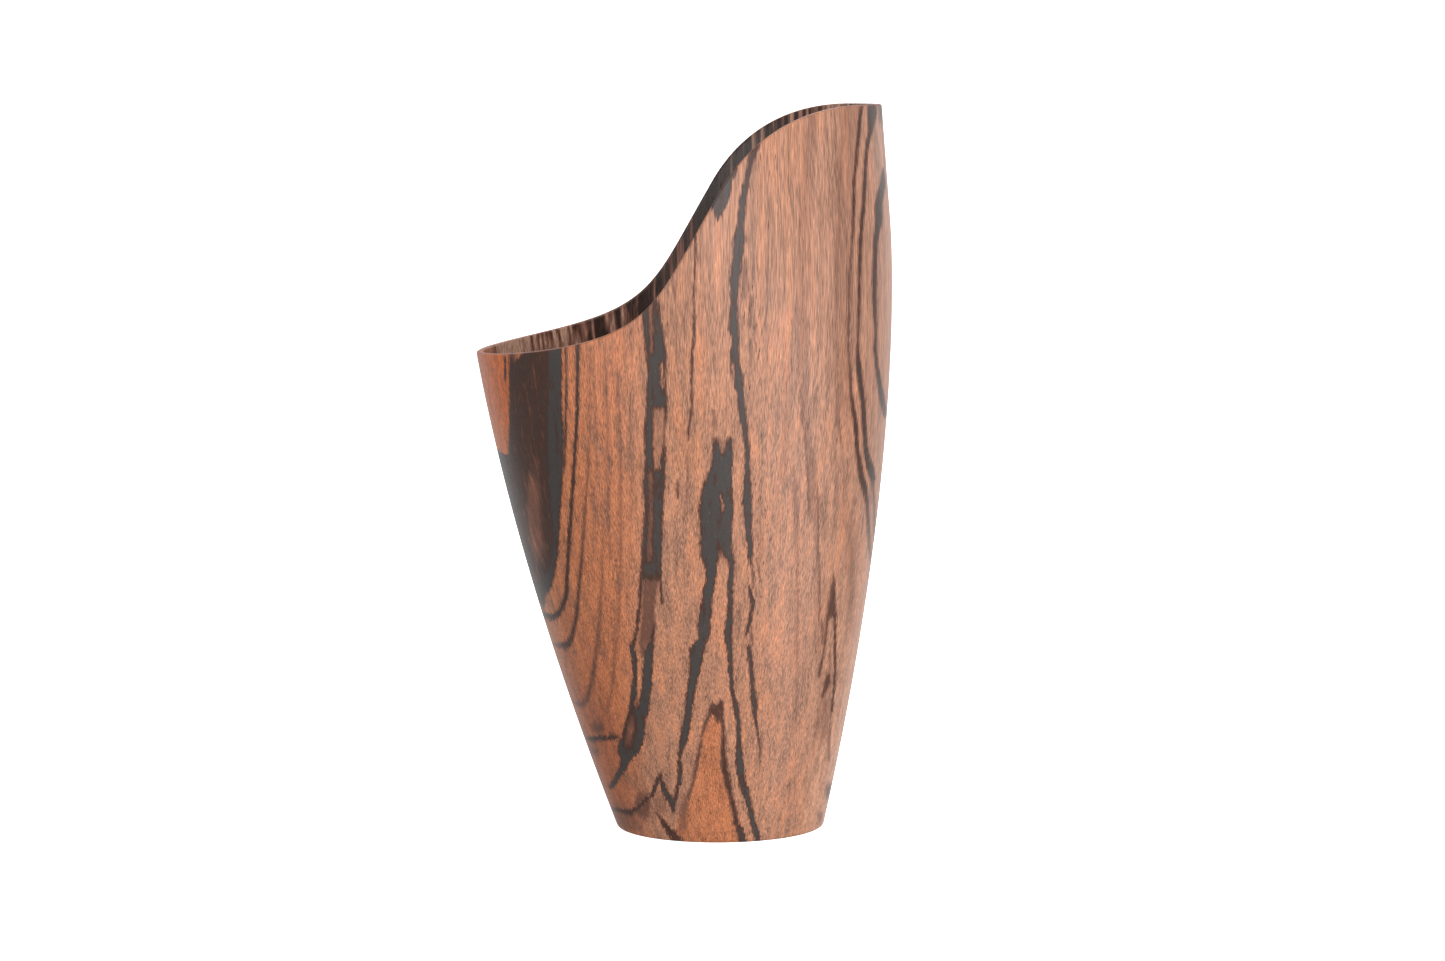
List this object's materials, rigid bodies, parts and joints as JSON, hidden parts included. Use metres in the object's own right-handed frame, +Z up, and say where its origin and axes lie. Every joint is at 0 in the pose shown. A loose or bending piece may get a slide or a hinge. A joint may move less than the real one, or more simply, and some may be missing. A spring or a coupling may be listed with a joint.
{
  "type": "dip pen holder",
  "caption": "Thin-walled turned wooden pen cup that flares and leans, cut to a low lip and a tall side, with a weighted foot closed by a plug.",
  "frame": {"origin": "centre of the foot's outline, in the plane of the table", "axes": "+Z up, -X towards the low lip, +X towards the tall side; the rim line is the same on both Y sides"},
  "size_m": [0.0861, 0.0884, 0.15],
  "materials": {
    "figured_wood": "salmon-brown rosewood type with near-black streaks, satin oil",
    "plug_wood": "plain brown end of the same kind of wood, satin oil",
    "felt": "pressed wool felt, dark green",
    "ballast_steel": "turned mild steel",
    "screw_brass": "bright brass",
    "pad_leather": "dark brown leather, flesh side up"
  },
  "bodies": {
    "root": {"shell": "figured_wood", "floor_plug": "plug_wood", "nib_mat": "felt", "ballast_disc": "ballast_steel", "ballast_screws": "screw_brass", "foot_pad": "pad_leather"}
  },
  "joints": []
}
